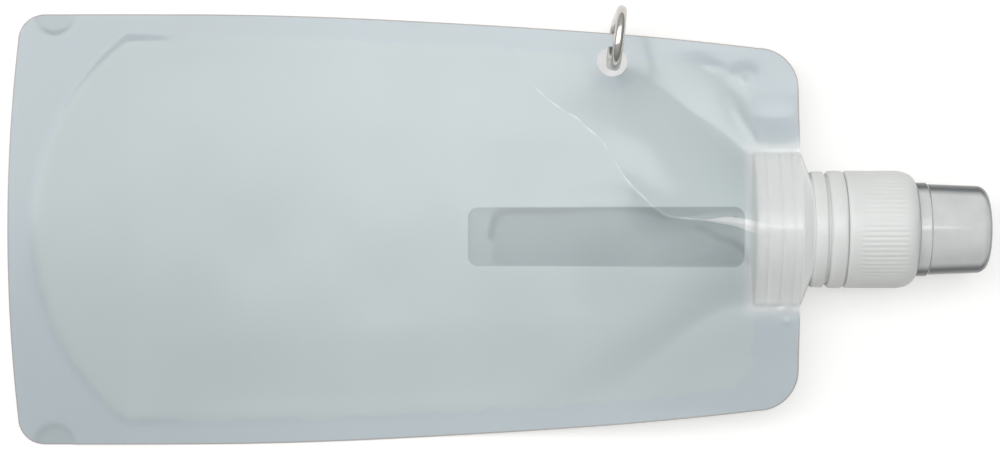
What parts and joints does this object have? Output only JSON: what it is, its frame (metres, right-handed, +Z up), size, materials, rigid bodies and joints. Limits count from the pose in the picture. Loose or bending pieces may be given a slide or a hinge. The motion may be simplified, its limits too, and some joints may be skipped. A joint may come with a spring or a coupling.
{
  "type": "collapsible water bottle",
  "caption": "Flat film pouch with a folded bottom gusset, a welded spout, a ribbed screw cap with push-pull nozzle and dust cover, and a clip.",
  "frame": {"origin": "the middle of the empty bottle's box, on the table that it lies on", "axes": "+X along the bottle towards the spout, +Y across it towards the clip, +Z up from the table through the front panel"},
  "size_m": [0.27, 0.12, 0.0424],
  "materials": {
    "milky_film": "soft gloss, milky and see-through",
    "white_polypropylene": "moulded, satin",
    "natural_polypropylene": "moulded, clear and slightly cloudy",
    "liner_foam": "foamed, matt",
    "nickel_plated_steel": "plated, bright"
  },
  "bodies": {
    "pouch": {"front_panel": "milky_film", "back_panel": "milky_film", "bottom_gusset": "milky_film", "spout_fitment": "white_polypropylene", "tamper_band": "white_polypropylene"},
    "cap_rise": {"cap_liner": "liner_foam"},
    "cap": {"screw_cap": "white_polypropylene"},
    "nozzle": {"pull_nozzle": "white_polypropylene"},
    "cover": {"dust_cover": "natural_polypropylene"},
    "carabiner": {"carabiner_body": "nickel_plated_steel"},
    "gate": {"carabiner_gate": "nickel_plated_steel", "gate_hinge_pin": "nickel_plated_steel", "gate_nose_pin": "nickel_plated_steel", "gate_spring": "nickel_plated_steel"},
    "plunger": {"gate_plunger": "nickel_plated_steel"}
  },
  "joints": [
    {"name": "cap_lift", "type": "slide", "parent": "pouch", "child": "cap_rise", "axis": [1, 0, 0], "range_m": [0, 0.0063]},
    {"name": "cap_unscrew", "type": "hinge", "parent": "cap_rise", "child": "cap", "pos_m": [0.0964, 0, 0.016], "axis": [1, 0, 0], "range_deg": [0, 540]},
    {"name": "nozzle_pull", "type": "slide", "parent": "cap", "child": "nozzle", "axis": [1, 0, 0], "range_m": [0, 0.0045]},
    {"name": "cover_pull", "type": "slide", "parent": "cap", "child": "cover", "axis": [1, 0, 0], "range_m": [0, 0.03]},
    {"name": "carabiner_swing", "type": "hinge", "parent": "pouch", "child": "carabiner", "pos_m": [0.03392, 0.05225, 0.00805], "axis": [0.9925, -0.1219, 0], "range_deg": [-25, 25]},
    {"name": "gate_open", "type": "hinge", "parent": "carabiner", "child": "gate", "pos_m": [0.03297, 0.04456, 0.01558], "axis": [-0.9925, 0.1219, 0], "range_deg": [0, 25], "stiffness_Nm_per_rad": 0.005, "springref_deg": -17.19},
    {"name": "plunger_push", "type": "slide", "parent": "gate", "child": "plunger", "axis": [-0.0088, -0.0718, 0.9974], "range_m": [0, 0.0005], "stiffness_N_per_m": 0.01, "springref_m": 0.0243, "deforming": ["gate_spring"]}
  ],
  "couplings": [
    {"joint": "cap_lift", "follows": "cap_unscrew", "m_per_rad": 0.00066845},
    {"joint": "plunger_push", "follows": "gate_open", "m_per_rad": 0.000917}
  ]
}
